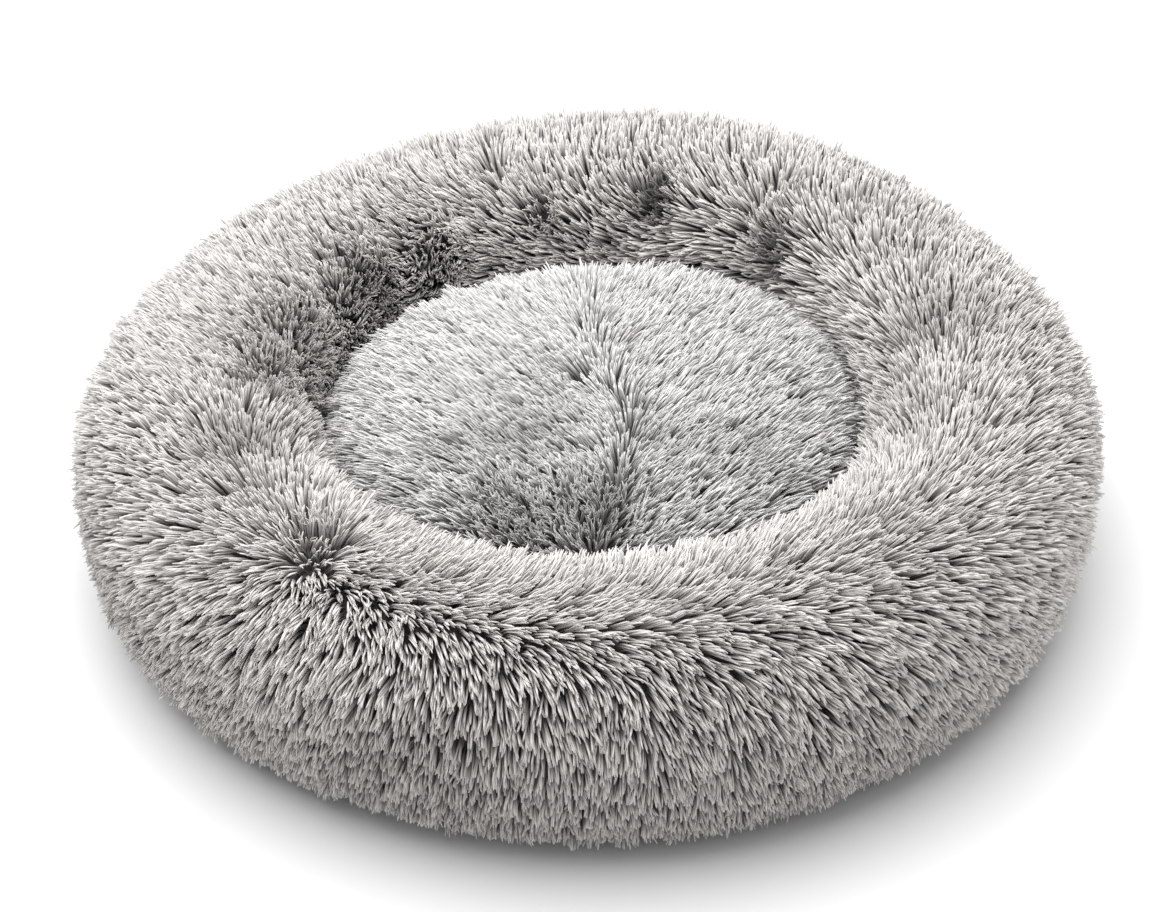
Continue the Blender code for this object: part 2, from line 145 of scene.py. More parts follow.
def radii(*nodes):
    """Least and greatest distance from the axis of any corner of these CAD nodes."""
    found = []
    for node in nodes:
        co = rows_of(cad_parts[node].data.vertices, "co")
        found.append(np.hypot(co[:, 0], co[:, 1]))
    every = np.concatenate(found)
    return float(every.min()), float(every.max())


COVERS = ["bolster_cover_" + side for side in ("right", "rear", "left", "front")]
WELL_RADIUS, BED_RADIUS = radii(*COVERS)
RING_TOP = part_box(COVERS[0])[1].z
TUBE_RADIUS = (WELL_RADIUS + BED_RADIUS) / 2.0
TUBE_HALF = (BED_RADIUS - WELL_RADIUS) / 2.0
TUBE_MIDDLE = RING_TOP / 2.0
CUSHION_RADIUS = radii("cushion_cover")[1]
CUSHION_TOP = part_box("cushion_cover")[1].z
CUSHION_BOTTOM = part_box("cushion_base")[0].z
CUSHION_MIDDLE = (CUSHION_TOP + CUSHION_BOTTOM) / 2.0
WELL_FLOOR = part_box("well_floor")[1].z
RING_SKIN_BOTTOM = WELL_FLOOR + LAYER
RING_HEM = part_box("ring_zip_upper_tape")[1].z + LAYER
RING_HEM_REACH = radii("ring_zip_upper_tape")[0] - 0.001  # the tape lies under the stuffing to here
CUSHION_SKIN_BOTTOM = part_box("cushion_zip_lower_tape")[0].z + 0.0006 + LAYER
CUSHION_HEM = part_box("cushion_zip_upper_tape")[1].z + LAYER
CUSHION_HEM_REACH = radii("cushion_zip_upper_tape")[0] - 0.001


def turn_from(azimuth, place):
    """How far round each azimuth lies from a place, from -180 to 180. Both are in degrees."""
    return (azimuth - place + 180.0) % 360.0 - 180.0


def clamped(x):
    return np.clip(x, 0.0, 1.0)


def signed_power(x, power):
    return np.sign(x) * np.abs(x) ** power


def unit(v):
    return v / np.maximum(np.linalg.norm(v, axis=-1, keepdims=True), 1e-12)


def mesh_object(name, verts, faces, material, smooth=True):
    mesh = bpy.data.meshes.new(name)
    mesh.from_pydata([tuple(v) for v in verts], [], [tuple(f) for f in faces])
    mesh.update()
    if smooth:
        mesh.shade_smooth()
    obj = bpy.data.objects.new(name, mesh)
    bpy.context.scene.collection.objects.link(obj)
    mesh.materials.append(material)
    return obj


def stands_for(obj, body, slot, *nodes):
    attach(obj, body)
    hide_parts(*nodes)


def set_right(obj, merge=0.0, close=False):
    """Turns a mesh's faces outwards, after points closer than merge are joined and its holes closed."""
    bm = bmesh.new()
    bm.from_mesh(obj.data)
    if merge:
        bmesh.ops.remove_doubles(bm, verts=bm.verts, dist=merge)
    if close:
        bmesh.ops.holes_fill(bm, edges=bm.edges)
    bmesh.ops.recalc_face_normals(bm, faces=bm.faces)
    bm.to_mesh(obj.data)
    bm.free()


# ---- materials ----
UV_NAME = "OFBake"  # the UV map that the pile's tones are kept in


def new_material(name, roughness):
    mat = bpy.data.materials.new(name)
    mat.use_nodes = True
    shader = mat.node_tree.nodes["Principled BSDF"]
    shader.inputs["Roughness"].default_value = roughness
    return mat, mat.node_tree, shader


def new_node(tree, kind, values=None, **settings):
    """A shader node of that kind, with these settings and these values on its inputs."""
    node = tree.nodes.new("ShaderNode" + kind)
    for key, value in settings.items():
        setattr(node, key, value)
    for key, value in (values or {}).items():
        node.inputs[key].default_value = value
    return node


def pile_material(name, warmth):
    """Frosted pile. The UV map holds a lock's tone across and the way from root to tip up."""
    mat, tree, shader = new_material(name, 0.75)
    link = tree.links.new
    shader.inputs["Sheen Weight"].default_value = 0.25
    shader.inputs["Sheen Roughness"].default_value = 0.6
    shader.inputs["Specular IOR Level"].default_value = 0.25
    uv = new_node(tree, "UVMap", uv_map=UV_NAME)
    split = new_node(tree, "SeparateXYZ")
    link(uv.outputs["UV"], split.inputs["Vector"])
    length = new_node(tree, "ValToRGB")
    ramp = length.color_ramp
    ramp.elements.new(0.36)
    ramp.elements.new(0.62)
    for element, place, grey in zip(ramp.elements, (0.08, 0.36, 0.62, 0.95), (0.046, 0.143, 0.414, 0.672)):
        red, blue = 1.0 + warmth * (2.3 - 1.9 * grey), 1.0 - warmth * (1.6 - grey)
        element.position, element.color = place, (grey * red, grey, grey * blue, 1.0)
    link(split.outputs["Y"], length.inputs["Fac"])
    tone = new_node(tree, "MapRange", {"To Min": 0.72, "To Max": 1.16})
    link(split.outputs["X"], tone.inputs["Value"])
    scale = new_node(tree, "VectorMath", operation="SCALE")
    link(length.outputs["Color"], scale.inputs[0])
    link(tone.outputs["Result"], scale.inputs["Scale"])
    link(scale.outputs["Vector"], shader.inputs["Base Color"])
    return mat


def cloth_material(name, colour, roughness=0.9, grain=900.0, relief=0.00025, change=0.08, metallic=0.0,
                   stretch=(1.0, 1.0, 1.0)):
    """A colour that varies a little, with a fine relief. stretch makes the grain longer one way."""
    mat, tree, shader = new_material(name, roughness)
    link = tree.links.new
    shader.inputs["Metallic"].default_value = metallic
    place = new_node(tree, "TexCoord")
    scale = new_node(tree, "VectorMath", {1: stretch}, operation="MULTIPLY")
    link(place.outputs["Object"], scale.inputs[0])
    noise = new_node(tree, "TexNoise", {"Scale": grain, "Detail": 2.0})
    link(scale.outputs["Vector"], noise.inputs["Vector"])
    ramp = new_node(tree, "ValToRGB")
    for element, place, bright in zip(ramp.color_ramp.elements, (0.35, 0.65), (1.0 - change, 1.0 + change)):
        element.position, element.color = place, (*(min(1.0, c * bright) for c in colour), 1.0)
    link(noise.outputs["Fac"], ramp.inputs["Fac"])
    link(ramp.outputs["Color"], shader.inputs["Base Color"])
    bump = new_node(tree, "Bump", {"Distance": relief, "Strength": 0.6})
    link(noise.outputs["Fac"], bump.inputs["Height"])
    link(bump.outputs["Normal"], shader.inputs["Normal"])
    return mat


def dotted_material(name, cloth, rubber, pitch=0.009):
    """A coarse plain weave with small raised dots of rubber in rows, for the underside."""
    mat, tree, shader = new_material(name, 0.85)
    link = tree.links.new
    place = new_node(tree, "TexCoord")
    threads = new_node(tree, "Math", operation="MULTIPLY")
    for k, direction in enumerate("XY"):
        wave = new_node(tree, "TexWave", {"Scale": 260.0}, bands_direction=direction)
        link(place.outputs["Object"], wave.inputs["Vector"])
        link(wave.outputs["Fac"], threads.inputs[k])
    low, high = (*(c * 0.75 for c in cloth), 1.0), (*(c * 1.2 for c in cloth), 1.0)
    shade = new_node(tree, "Mix", {6: low, 7: high}, data_type="RGBA")
    link(threads.outputs[0], shade.inputs[0])
    # how far each place is from the middle of its cell
    half = pitch / 2.0
    cell = new_node(tree, "VectorMath", {1: (half, half, 1.0), 2: (-half, -half, -1.0)}, operation="WRAP")
    link(place.outputs["Object"], cell.inputs[0])
    flat = new_node(tree, "VectorMath", {1: (1.0, 1.0, 0.0)}, operation="MULTIPLY")
    link(cell.outputs["Vector"], flat.inputs[0])
    far = new_node(tree, "VectorMath", operation="LENGTH")
    link(flat.outputs["Vector"], far.inputs[0])
    dot = new_node(tree, "MapRange", {"From Min": 0.00155, "From Max": 0.00135})
    link(far.outputs["Value"], dot.inputs["Value"])
    colour = new_node(tree, "Mix", {7: (*rubber, 1.0)}, data_type="RGBA")
    link(shade.outputs[2], colour.inputs[6])
    link(dot.outputs["Result"], colour.inputs[0])
    link(colour.outputs[2], shader.inputs["Base Color"])
    height = new_node(tree, "Math", operation="MAXIMUM")
    link(threads.outputs[0], height.inputs[0])
    raised = new_node(tree, "Math", {1: 2.5}, operation="MULTIPLY")
    link(dot.outputs["Result"], raised.inputs[0])
    link(raised.outputs[0], height.inputs[1])
    bump = new_node(tree, "Bump", {"Distance": 0.00018, "Strength": 0.7})
    link(height.outputs[0], bump.inputs["Height"])
    link(bump.outputs["Normal"], shader.inputs["Normal"])
    return mat


# ---- skins ----
def settled(azimuth):
    """How far the ring stands out and up there, against its even shape."""
    out, up = np.zeros_like(azimuth), np.zeros_like(azimuth)
    for place, reach, most_out, most_up in SETTLED:
        share = np.exp(-(turn_from(np.degrees(azimuth), place) / reach) ** 2)
        out, up = out + most_out * share, up + most_up * share
    return out, up


def swept(azimuth, section, centre, middle, half_w, half_h, power):
    """A squared ellipse round that radius and height, turned to each azimuth: its point, its outward
    normal, and the tangents of headings 0 and 90."""
    c, s = np.cos(section), np.sin(section)
    r = centre + half_w * signed_power(c, 2.0 / power)
    z = middle + half_h * signed_power(s, 2.0 / power)
    # the gradient of the section's curve is its normal
    grad_r = signed_power(c, 2.0 - 2.0 / power) / half_w
    grad_z = signed_power(s, 2.0 - 2.0 / power) / half_h
    size = np.hypot(grad_r, grad_z)
    grad_r, grad_z = grad_r / size, grad_z / size
    ca, sa = np.cos(azimuth), np.sin(azimuth)
    point = np.stack([r * ca, r * sa, z], -1)
    normal = np.stack([grad_r * ca, grad_r * sa, grad_z], -1)
    down = np.stack([grad_z * ca, grad_z * sa, -grad_r], -1)
    along = np.stack([-sa, ca, np.zeros_like(sa)], -1)
    return point, normal, down, along


def ring_point(azimuth, section, inset):
    """The ring's surface that far under the tips of the pile, for arrays of radians."""
    c, s = np.cos(section), np.sin(section)
    out, up = settled(azimuth)
    half_w = TUBE_HALF - inset + out * (c > 0.0)
    bottom = RING_SKIN_BOTTOM + (inset - RING_INSET)
    half_h = np.where(s > 0.0, TUBE_MIDDLE - inset + up, TUBE_MIDDLE - bottom)
    foot = np.full_like(azimuth, FOOT_POWER)
    for place, reach, more in SPREADING:
        foot = foot + more * np.exp(-(turn_from(np.degrees(azimuth), place) / reach) ** 2)
    power = np.where(s < 0.0, foot, RING_POWER)
    return swept(azimuth, section, TUBE_RADIUS, TUBE_MIDDLE, half_w, half_h, power)


def cushion_point(azimuth, section, inset):
    """The same on the cushion, where section 90 is the middle of its top and 0 its widest place."""
    c, s = np.cos(section), np.sin(section)
    full = np.zeros_like(azimuth)
    for place, reach, most in FULLER:
        full = full + most * np.exp(-(turn_from(np.degrees(azimuth), place) / reach) ** 2)
    full = full * clamped(c * 4.0) * clamped(s * 4.0)
    bottom = CUSHION_SKIN_BOTTOM + (inset - CUSHION_INSET)
    half_w = CUSHION_RADIUS - inset + full
    half_h = np.where(s > 0.0, CUSHION_TOP - CUSHION_MIDDLE - inset + full, CUSHION_MIDDLE - bottom)
    return swept(azimuth, section, 0.0, CUSHION_MIDDLE, half_w, half_h, CUSHION_POWER)


def scatter(surface, inset, first, last, rng, spacing):
    """Roots on a jittered lattice: rows along the section, each with places round the azimuth."""
    fine = np.radians(np.linspace(first, last, 1200))
    line = surface(np.zeros_like(fine), fine, inset)[0]
    run = np.concatenate([[0.0], np.cumsum(np.linalg.norm(np.diff(line, axis=0), axis=1))])
    azimuths, sections = [], []
    rows = int(run[-1] / (spacing * 0.87))
    for row in range(rows):
        here = (row + 0.5) / rows * run[-1]
        radius = np.interp(here, run, np.hypot(line[:, 0], line[:, 1]))
        count = max(3, int(2.0 * math.pi * radius / spacing))
        places = (np.arange(count) + 0.5 * (row % 2) + rng.uniform(-0.42, 0.42, count)) / count
        rows_at = here + rng.uniform(-0.42, 0.42, count) * spacing
        azimuths.append(places * 2.0 * math.pi - math.pi)
        sections.append(np.interp(rows_at, run, fine))
    return np.concatenate(azimuths), np.concatenate(sections)


# ---- combing ----
def comb_ring(azimuth, section):
    """Direction in (down, along) and how strongly the pile is combed over, from 0 to 1."""
    rows = np.array(sorted(COMB), float)
    table = np.radians(np.array([COMB[int(a)] for a in rows], float))
    vectors = np.stack([np.cos(table), np.sin(table)], -1)
    rows = np.concatenate([rows, [rows[0] + 360.0]])
    vectors = np.concatenate([vectors, vectors[:1]])
    a = turn_from(np.degrees(azimuth), 0.0)
    s = np.clip(np.degrees(section), COMB_SECTIONS[0], COMB_SECTIONS[-1] - 1e-6)
    i = np.clip(np.searchsorted(rows, a, side="right") - 1, 0, len(rows) - 2)
    columns = np.array(COMB_SECTIONS, float)
    j = np.clip(np.searchsorted(columns, s, side="right") - 1, 0, len(columns) - 2)
    fa = (a - rows[i]) / (rows[i + 1] - rows[i])
    fs = (s - columns[j]) / (columns[j + 1] - columns[j])
    fa, fs = (3.0 - 2.0 * fa) * fa * fa, (3.0 - 2.0 * fs) * fs * fs
    fa, fs = fa[:, None], fs[:, None]
    v = ((vectors[i, j] * (1 - fa) + vectors[i + 1, j] * fa) * (1 - fs)
         + (vectors[i, j + 1] * (1 - fa) + vectors[i + 1, j + 1] * fa) * fs)
    for place, low, high, reach in PARTED:
        v = parted(v, a, s, place, low, high, reach)
    return whorl(v, a, s, FRONT_WHORL, WHORL_REACH)


def from_feature(azimuth, section, place):
    """How far down and along the ring's skin each root lies from a named place, in metres."""
    along = np.radians(turn_from(azimuth, place[0])) * TUBE_RADIUS
    down = -np.radians(section - place[1]) * (TUBE_HALF - RING_INSET * 0.5)
    return down, along


def parted(v, azimuth, section, place, low, high, reach):
    """Pile falls to both sides of a line over the ring, and stands up along it."""
    along = from_feature(azimuth, section, (place, 0.0))[1]
    ends = 1.0 / (1.0 + np.exp((np.abs(section - (low + high) / 2.0) - (high - low) / 2.0) / 4.0))
    share = (ends * np.exp(-(along / reach) ** 2))[:, None]
    aside = np.stack([np.full_like(along, 0.45), np.tanh(along / 0.004)], -1)
    return v * (1.0 - 0.7 * share) + aside * share * 0.65


def tuftedness(azimuth, section):
    """From 0, where the pile lies combed, to 1, where it stands in separate tufts."""
    most = np.zeros_like(azimuth)
    for place, angle, reach in TUFTED:
        down, along = from_feature(np.degrees(azimuth), np.degrees(section), (place, angle))
        most = np.maximum(most, np.exp(-((down ** 2 + along ** 2) / reach ** 2) ** 1.5))
    return most


def roots_and_painted_shade(azimuth, section):
    """How far up the pile stays dark, by place: partly its roots showing, partly painted shade and painted
    light.
    """
    total = np.zeros_like(azimuth)
    for place, angle, reach, depth in ROOTS_AND_PAINTED_SHADE:
        down, along = from_feature(np.degrees(azimuth), np.degrees(section), (place, angle))
        total += depth * np.exp(-(down ** 2 + along ** 2) / reach ** 2)
    return total


def cushion_roots_and_painted_shade(azimuth, section):
    """The same on the cushion: painted shade darkens the front, and it is darker in a band across it, down
    the middle and along the parting, where the roots show; painted light pales the rim behind, which the ring
    shades."""
    point = cushion_point(azimuth, section, CUSHION_INSET)[0]
    x, y = point[:, 0], point[:, 1]
    # front: painted shade, darker towards the front
    front = clamped(-y / 0.055)
    middle = np.exp(-((x + 0.016) / 0.040) ** 2) * clamped((0.07 - y) / 0.05)
    crease = np.exp(-((beside_parting(x, y) - 0.003) / 0.005) ** 2) * clamped(-y / 0.03)
    # rim: painted light, paler at the rim where the ring shades it
    rim = clamped((np.hypot(x, y) - 0.108) / 0.03) * clamped((y + 0.06) / 0.04)
    rim = rim * (0.30 + 0.26 * clamped((x + y) / 0.08))
    across = np.exp(-((y + 0.062) / 0.022) ** 2) * clamped(np.abs(x - 0.012) / 0.03)
    across = across * clamped((0.105 - np.abs(x - 0.010)) / 0.03)
    total = 0.24 * front + 0.38 * middle * (1.0 - 0.4 * front) + 0.16 * crease - rim + 0.20 * across - 0.30
    for place_x, place_y, reach, depth in CUSHION_ROOTS_AND_PAINTED_SHADE:
        total += depth * np.exp(-((x - place_x) ** 2 + (y - place_y) ** 2) / reach ** 2)
    return total


def whorl(v, azimuth, section, place, reach):
    """Pile radiates from a place, and stands up at it."""
    down, along = from_feature(azimuth, section, place)
    far = np.hypot(down, along)
    share = np.exp(-(far / reach) ** 2)[:, None]
    away = np.stack([down, along], -1) / np.maximum(far, 1e-9)[:, None]
    away *= np.minimum(1.0, far / 0.012)[:, None]
    return v * (1.0 - share) + away * share


def cushion_tuftedness(azimuth, section):
    """The same on the cushion."""
    point = cushion_point(azimuth, section, CUSHION_INSET)[0]
    most = np.zeros(len(point))
    for x, y, reach in CUSHION_TUFTED:
        far = np.hypot(point[:, 0] - x, point[:, 1] - y) / reach
        most = np.maximum(most, 0.95 * np.exp(-far ** 3))
    return most


def smooth_band(azimuth, section):
    """The pale, smoothly combed band on the inner side of the front, from 0 to 1."""
    turn = turn_from(np.degrees(azimuth), -92.0)
    return np.exp(-(turn / 42.0) ** 4) * np.exp(-((np.degrees(section) - 118.0) / 24.0) ** 2)


def beside_parting(x, y):
    """How far to the right of the cushion's parting each place lies."""
    line = np.array(PARTING)
    return x - np.interp(y, line[:, 0], line[:, 1])


def comb_cushion(azimuth, section):
    """The cushion's pile parts along a line from back to front and falls to both sides."""
    point = cushion_point(azimuth, section, CUSHION_INSET)[0]
    x, y = point[:, 0], point[:, 1]
    side = np.tanh(beside_parting(x, y) / 0.007)
    left = np.radians(148.0 + 24.0 * clamped(-x / 0.15))
    right = np.radians(38.0 - 5.0 * clamped(x / 0.15))
    lv = np.stack([np.cos(left), np.sin(left)], -1)
    rv = np.stack([np.cos(right), np.sin(right)], -1)
    share = (side * 0.5 + 0.5)[:, None]
    v = lv * (1 - share) + rv * share
    back = clamped((y - 0.06) / 0.09)[:, None]
    v = v * (1.0 - 0.5 * back) + np.array([0.0, 1.0]) * 0.5 * back
    # from world X and Y to the skin's own tangents
    ca, sa = np.cos(azimuth), np.sin(azimuth)
    down = v[:, 0] * ca + v[:, 1] * sa
    along = -v[:, 0] * sa + v[:, 1] * ca
    return np.stack([down, along], -1)


# ---- locks ----
STATIONS = np.array([0.0, 0.42, 0.88, 1.0])  # along a strand
TAPER = np.array([0.80, 1.05, 1.00, 0.55])  # of its radius at each
CORNERS = 3  # round a strand


def strands_shape(locks, rng):
    """Vertices by strand, station, corner and xyz, and the lock that each strand belongs to.

    lay is the unit tangent that a lock bends towards, lean the angle from the normal at its tip, and
    pull the way that its tip is drawn towards its clump.
    """
    point, normal, lay = locks["point"], locks["normal"], locks["lay"]
    lean, length, curl, pull, thick = (locks[k] for k in ("lean", "length", "curl", "pull", "thick"))
    side = np.cross(normal, lay)
    count = len(point) * STRANDS
    pick = np.repeat(np.arange(len(point)), STRANDS)
    spin = rng.uniform(0.0, 2.0 * math.pi, count)
    spread = LOCK_RADIUS * np.sqrt(rng.uniform(0.15, 1.0, count))
    off_lay, off_side = spread * np.cos(spin), spread * np.sin(spin)
    own_length = length[pick] * rng.uniform(0.88, 1.0, count)
    own_lean = lean[pick] + rng.normal(0.0, 0.07, count)
    phase = rng.uniform(0.0, 2.0 * math.pi, count)
    fan = rng.normal(0.0, 0.05, count)

    here = point[pick] + lay[pick] * off_lay[:, None] + side[pick] * off_side[:, None]
    rings = []
    previous = 0.0
    for t, taper in zip(STATIONS, TAPER):
        if t > 0.0:
            middle = (t + previous) / 2.0
            angle = own_lean * (0.30 + 0.70 * middle ** 0.8) + fan
            step = own_length * (t - previous)
            here = (here + normal[pick] * (np.cos(angle) * step)[:, None]
                    + lay[pick] * (np.sin(angle) * step)[:, None])
            wave = curl[pick] * np.sin(phase + 5.0 * t) * t
            here = here + side[pick] * wave[:, None]
            here = here + pull[pick] * (t ** 1.6 - previous ** 1.6)
            gather = (t - previous) * 0.55
            here = here - side[pick] * (off_side * gather)[:, None] - lay[pick] * (off_lay * gather)[:, None]
        previous = t
        angle = (own_lean * (0.30 + 0.70 * t ** 0.8))[:, None]
        across = normal[pick] * -np.sin(angle) + lay[pick] * np.cos(angle)
        radius = (STRAND_RADIUS * taper * thick[pick])[:, None]
        corners = []
        for c in range(CORNERS):
            turn = 2.0 * math.pi * c / CORNERS + phase
            corners.append(here + (across * np.cos(turn)[:, None] + side[pick] * np.sin(turn)[:, None])
                           * radius)
        rings.append(np.stack(corners, 1))
    return np.stack(rings, 1), pick


def strand_triangles():
    """The triangles of one strand, which is open at its root and closed at its tip."""
    triangles = []
    for low in range(0, (len(STATIONS) - 1) * CORNERS, CORNERS):
        for c in range(CORNERS):
            d = (c + 1) % CORNERS
            triangles.append((low + c, low + d, low + CORNERS + d))
            triangles.append((low + c, low + CORNERS + d, low + CORNERS + c))
    tip = (len(STATIONS) - 1) * CORNERS
    triangles.append((tip, tip + 1, tip + 2))
    return np.array(triangles, np.int32)


def strands_mesh(name, locks, rng, material, over_zip):
    """One object of every strand of these locks, with each strand's tone in its UV map."""
    verts, pick = strands_shape(locks, rng)
    verts[..., 2] = floor_limit(verts, *over_zip)
    count, per = len(pick), len(STATIONS) * CORNERS
    index = (np.arange(count, dtype=np.int32) * per)[:, None, None] + strand_triangles()[None]
    index = index.reshape(-1)
    mesh = bpy.data.meshes.new(name)
    mesh.vertices.add(count * per)
    mesh.vertices.foreach_set("co", verts.reshape(-1).astype(np.float32))
    mesh.loops.add(len(index))
    mesh.loops.foreach_set("vertex_index", index)
    faces = len(index) // 3
    mesh.polygons.add(faces)
    mesh.polygons.foreach_set("loop_start", np.arange(faces, dtype=np.int32) * 3)
    mesh.polygons.foreach_set("use_smooth", np.ones(faces, bool))
    own_tone = np.clip(locks["tone"][pick] + rng.normal(0.0, 0.12, count), 0.02, 0.98)
    u = np.repeat(own_tone, per).reshape(count, per)
    # v runs from root to tip, shortened by shade: roots that show, and painted shade and painted light by
    # place
    v = np.repeat(STATIONS, CORNERS)[None] * (1.0 - locks["shade"][pick])[:, None]
    uv = np.stack([u, v], -1).reshape(-1, 2)[index]
    layer = mesh.uv_layers.new(name=UV_NAME)
    layer.data.foreach_set("uv", uv.reshape(-1).astype(np.float32))
    mesh.update()
    mesh.materials.append(material)
    obj = bpy.data.objects.new(name, mesh)
    bpy.context.scene.collection.objects.link(obj)
    return obj


def floor_limit(verts, first, last, clearance, inner):
    """Heights with the pile laid along the floor, and lifted clear of the zip at the back.

    The zip runs between the azimuths first and last, and the pile is lifted beyond the radius inner.
    """
    azimuth = np.degrees(np.arctan2(verts[..., 1], verts[..., 0]))
    far = np.hypot(verts[..., 0], verts[..., 1])
    ease, soft = 6.0, 0.004  # degrees at the zip's ends, and height over the limit
    over_zip = clamped(np.minimum(azimuth - first, last - azimuth) / ease) * (far > inner)
    least = np.where(far < RING_HEM_REACH, WELL_FLOOR + 0.0008, LOWEST_TIP)
    least = least + (clearance - least) * over_zip
    z = verts[..., 2]
    return np.where(z < least + soft, least + soft * np.exp((z - least - soft) / soft), z)


def clump_pull(point, normal, strength, tufts, rng):
    """The way from each root towards the nearest root that leads a clump, along the skin."""
    leaders = np.nonzero(rng.uniform(0.0, 1.0, len(point)) < CLUMP_SHARE * (1.0 - 0.5 * tufts))[0]
    tree = KDTree(len(leaders))
    for k in leaders:
        tree.insert(point[k], int(k))
    tree.balance()
    nearest = np.array([tree.find(p)[1] for p in point])
    way = point[nearest] - point
    way -= normal * np.sum(way * normal, 1, keepdims=True)
    far = np.linalg.norm(way, axis=1)
    limit = CLUMP_PULL * (1.0 + 0.6 * tufts)
    return way * (strength * np.minimum(1.0, limit / np.maximum(far, 1e-9)))[:, None]


def grow(surface, inset, azimuth, section, comb, rng, tufts, gather, tree=None):
    """Root, normal, lay, lean and the rest of each lock, as arrays by name.

    gather is how closely the locks are drawn into clumps, and shade how far up they stay dark.
    """
    point, normal, down, along = surface(azimuth, section, inset)
    if tree:
        point, normal = onto_skin(tree, point, normal)
    v = comb(azimuth, section)
    strength = clamped(np.linalg.norm(v, axis=1))
    heading = np.arctan2(v[:, 1], v[:, 0])
    clump = clump_noise(point, 0.009, rng)
    heading = heading + 0.16 * clump[:, 0] + rng.normal(0.0, 1.0, len(point)) * (0.12 + 0.6 * tufts)
    lay = down * np.cos(heading)[:, None] + along * np.sin(heading)[:, None]
    lay = unit(lay - normal * np.sum(lay * normal, 1, keepdims=True))
    under = clamped(-np.degrees(section) / 60.0)
    lean = (0.15 + 1.12 * strength ** 1.2) * (1.0 - 0.62 * tufts) * (1.0 - 0.5 * under)
    lean = lean + 0.09 * clump[:, 1] + rng.normal(0.0, 0.08, len(point))
    length = LOCK_LENGTH * (1.0 - 0.12 * tufts + 0.06 * clump[:, 2] + rng.normal(0.0, 0.07, len(point)))
    tone = 0.5 + 0.10 * clump[:, 2] + rng.normal(0.0, 0.10, len(point))
    # tufts stay dark further up: their roots show, and on the ring this is partly painted shade
    return {"point": point, "normal": normal, "lay": lay, "lean": lean, "length": length, "tone": tone,
            "curl": 0.0002 + 0.0012 * tufts, "shade": 0.36 * tufts, "thick": np.ones(len(point)),
            "pull": clump_pull(point, normal, np.maximum(gather, 0.8 * tufts), tufts, rng)}


def clump_noise(point, size, rng):
    """Three smooth random values that change over this distance."""
    out = np.zeros((len(point), 3))
    for k in range(3):
        for _ in range(7):
            wave = unit(rng.normal(0.0, 1.0, 3)) * 2.0 * math.pi / (size * rng.uniform(0.9, 2.6))
            out[:, k] += np.sin(point @ wave + rng.uniform(0.0, 2.0 * math.pi))
    return out / 1.87


def onto_skin(tree, point, normal):
    """Moves roots onto the nearest place of the stuffed skin, and turns them part of the way with it."""
    found, facing = point.copy(), normal.copy()
    for i, p in enumerate(point):
        place, face_normal, _, _ = tree.find_nearest(Vector(p))
        if place is not None:
            found[i] = place
            facing[i] = face_normal
    facing *= np.sign(np.sum(facing * normal, 1, keepdims=True) + 1e-9)
    return found, unit(normal * 0.6 + facing * 0.4)


def stuffed(obj):
    """Presses the skin out with the stuffing's pressure as cloth, and keeps the unevenness that this
    gives it. No point moves further than MOST_STUFFED. Returns the skin's faces as a tree."""
    mesh = obj.data
    start, normals = rows_of(mesh.vertices, "co"), rows_of(mesh.vertices, "normal")
    cloth = obj.modifiers.new("stuffing", "CLOTH")
    settings = cloth.settings
    settings.quality = 5
    settings.mass = 0.3
    settings.tension_stiffness = settings.compression_stiffness = 15.0
    settings.shear_stiffness = 8.0
    settings.bending_stiffness = 0.4
    settings.use_pressure = True
    settings.uniform_pressure_force = 4.0
    settings.effector_weights.gravity = 0.0
    cloth.collision_settings.use_collision = False
    scene = bpy.context.scene
    for step in range(1, 21):
        scene.frame_set(step)
    pressed = obj.evaluated_get(bpy.context.evaluated_depsgraph_get())
    end = rows_of(pressed.to_mesh().vertices, "co")
    pressed.to_mesh_clear()
    obj.modifiers.remove(cloth)
    scene.frame_set(1)
    move = end - start
    swell = np.sum(move * normals, 1)
    move -= normals * np.median(swell)
    far = np.linalg.norm(move, axis=1, keepdims=True)
    move *= np.minimum(1.0, MOST_STUFFED / np.maximum(far, 1e-9))
    rests = clamped((start[:, 2] - 0.018) / 0.02)[:, None]  # the foot keeps its place
    mesh.vertices.foreach_set("co", (start + move * rests).reshape(-1))
    mesh.update()
    furthest = float(np.linalg.norm(move * rests, axis=1).max())
    print("%s moved %.1f mm at most" % (obj.name, 1000.0 * furthest))
    points = [v.co.copy() for v in mesh.vertices]
    return BVHTree.FromPolygons(points, [tuple(f.vertices) for f in mesh.polygons])


# ---- the bed ----
PILE = pile_material("frosted_pile", 0.036)
CUSHION_PILE = pile_material("frosted_pile_of_cushion", 0.018)
SKIN_CLOTH = cloth_material("pile_backing", (0.085, 0.078, 0.073), 0.95)
LINER_CLOTH = cloth_material("liner_cloth", (0.86, 0.86, 0.84), 0.85, 420.0, 0.0002, 0.03)
FIBRE = cloth_material("fibre", (0.92, 0.92, 0.91), 0.95, 160.0, 0.0015, 0.03)
BASE_CLOTH = dotted_material("base_cloth", (0.047, 0.047, 0.051), (0.012, 0.012, 0.013))
EDGE_CLOTH = cloth_material("edge_cloth", (0.047, 0.047, 0.051), 0.9, 1100.0, 0.0002, 0.2)
TAPE_CLOTH = cloth_material("zip_tape", (0.17, 0.163, 0.156), 0.85, 1500.0, 0.00015, 0.15)
COIL_NYLON = cloth_material("zip_coil", (0.21, 0.20, 0.19), 0.45, 700.0, 0.00005, 0.05)
ZIP_METAL = cloth_material("zip_metal", (0.60, 0.60, 0.61), 0.34, 500.0, 0.00003, 0.04, 1.0, (1.0, 1.0, 12.0))
RIBBON = cloth_material("ribbon", (0.88, 0.88, 0.86), 0.42, 1800.0, 0.00006, 0.03, 0.0, (1.0, 1.0, 9.0))


